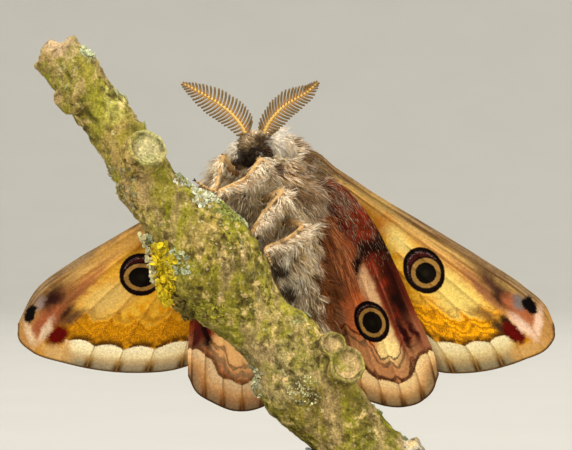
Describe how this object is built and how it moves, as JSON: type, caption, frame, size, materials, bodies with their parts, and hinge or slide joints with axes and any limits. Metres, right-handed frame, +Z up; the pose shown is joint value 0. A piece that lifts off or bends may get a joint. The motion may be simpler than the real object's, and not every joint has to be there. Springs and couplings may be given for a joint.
{
  "type": "moth on a twig",
  "caption": "Male emperor moth with feathered antennae and eyespots on all wings, clinging to a cut twig on a small flat display stand.",
  "frame": {"origin": "centre of the bounding box on the underside of the stand", "axes": "+Z up; the moth's underside faces -Y with its head up, so its left wings are at +X"},
  "size_m": [0.0548, 0.026, 0.0513],
  "materials": {
    "fur_dark": "shaggy fur",
    "fur_grey": "shaggy fur",
    "fur_tan": "short fur",
    "eye": "glossy",
    "antenna": "matte",
    "forewing": "scaled, matte",
    "hindwing": "scaled, matte",
    "bark": "rough bark",
    "stand": "satin black",
    "rod": "satin"
  },
  "bodies": {
    "root": {"head": "fur_dark", "eye_left": "eye", "eye_right": "eye", "antenna_left": "antenna", "antenna_right": "antenna", "thorax": "fur_grey", "abdomen": "fur_grey", "foreleg_left": "fur_tan", "foreleg_right": "fur_tan", "midleg_left": "fur_tan", "midleg_right": "fur_tan", "hindleg_left": "fur_tan", "hindleg_right": "fur_tan", "forewing_left": "forewing", "forewing_right": "forewing", "hindwing_left": "hindwing", "hindwing_right": "hindwing", "twig": "bark", "stand_base": "stand", "stand_rod_middle": "rod", "stand_rod_end": "rod"}
  },
  "joints": []
}
